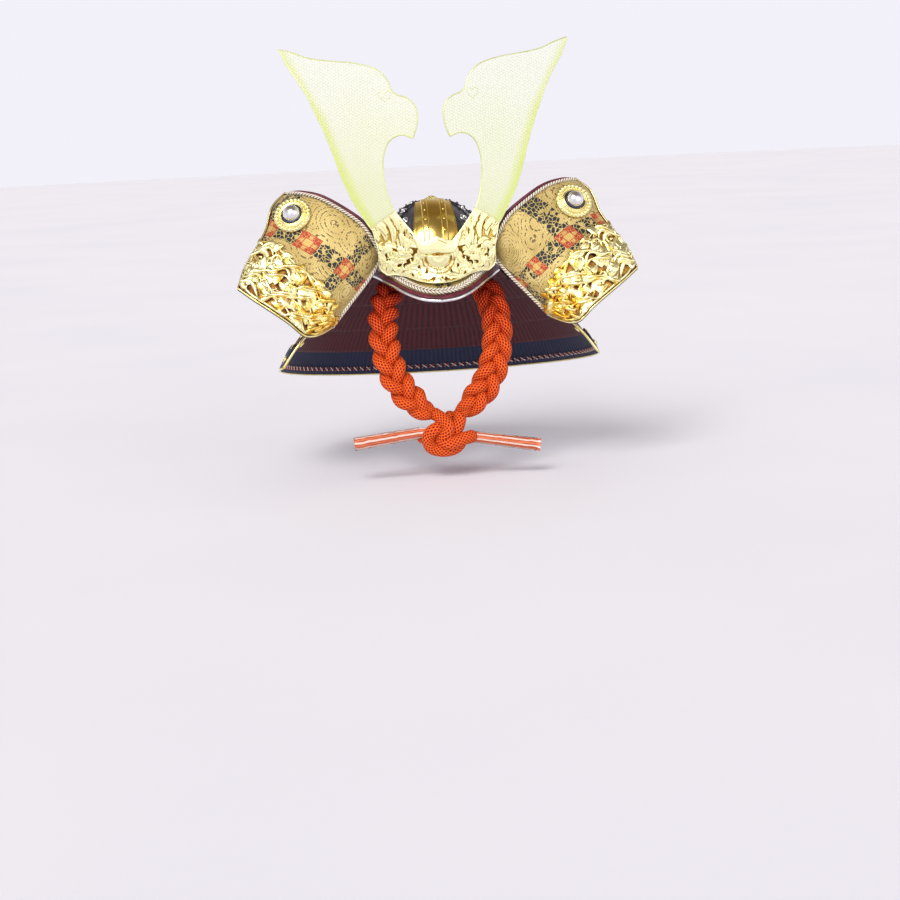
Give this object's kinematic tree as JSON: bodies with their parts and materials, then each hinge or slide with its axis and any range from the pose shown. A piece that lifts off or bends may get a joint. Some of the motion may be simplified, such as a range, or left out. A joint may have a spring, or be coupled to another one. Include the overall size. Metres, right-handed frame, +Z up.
{
  "type": "kabuto samurai helmet",
  "caption": "Small display kabuto with gilt horned crest, silver-edged visor, flared laced neck guard, brocade turned-back wings and a tied chin cord.",
  "frame": {"origin": "inside of the crown, where the head or stand bears", "axes": "+Z up, -Y the way the helmet faces, +X to the right seen from the front"},
  "size_m": [0.275, 0.1828, 0.2842],
  "materials": {
    "lacquer": "black lacquer over metal plates, glossy",
    "gilt": "gilt, polished and embossed",
    "pale_gilt": "pale gilt, finely embossed",
    "silver": "silvered, polished",
    "red_leather": "dark red printed leather on metal",
    "brocade": "gold brocade with woven figures",
    "cream_cord": "twisted cream edging cord",
    "laced_red": "lacquered rows covered with dark red lacing",
    "laced_navy": "lacquered row covered with navy lacing",
    "vermilion_cord": "round woven vermilion cord, plaited",
    "sleeve_film": "coral cord in a clear film sleeve"
  },
  "bodies": {
    "root": {"bowl": "lacquer", "bowl_band": "lacquer", "front_gilt_plate": "gilt", "crown_fitting": "gilt", "visor": "brocade", "visor_leather": "red_leather", "visor_rope": "cream_cord", "visor_rim": "silver", "crest_base": "gilt", "crest_cup": "gilt", "crest_bead": "gilt", "horn_left": "pale_gilt", "horn_right": "pale_gilt", "lame_1": "laced_red", "lame_2": "laced_red", "lame_3": "laced_red", "lame_4": "laced_red", "lame_5": "laced_navy", "knot": "vermilion_cord", "turnback_left": "red_leather", "brocade_left": "brocade", "edging_left": "cream_cord", "mount_left": "gilt", "boss_left": "gilt", "dome_left": "silver", "ring_left": "gilt", "braid_left": "vermilion_cord", "tail_left": "sleeve_film", "turnback_right": "red_leather", "brocade_right": "brocade", "edging_right": "cream_cord", "mount_right": "gilt", "boss_right": "gilt", "dome_right": "silver", "ring_right": "gilt", "braid_right": "vermilion_cord", "tail_right": "sleeve_film"}
  },
  "joints": []
}
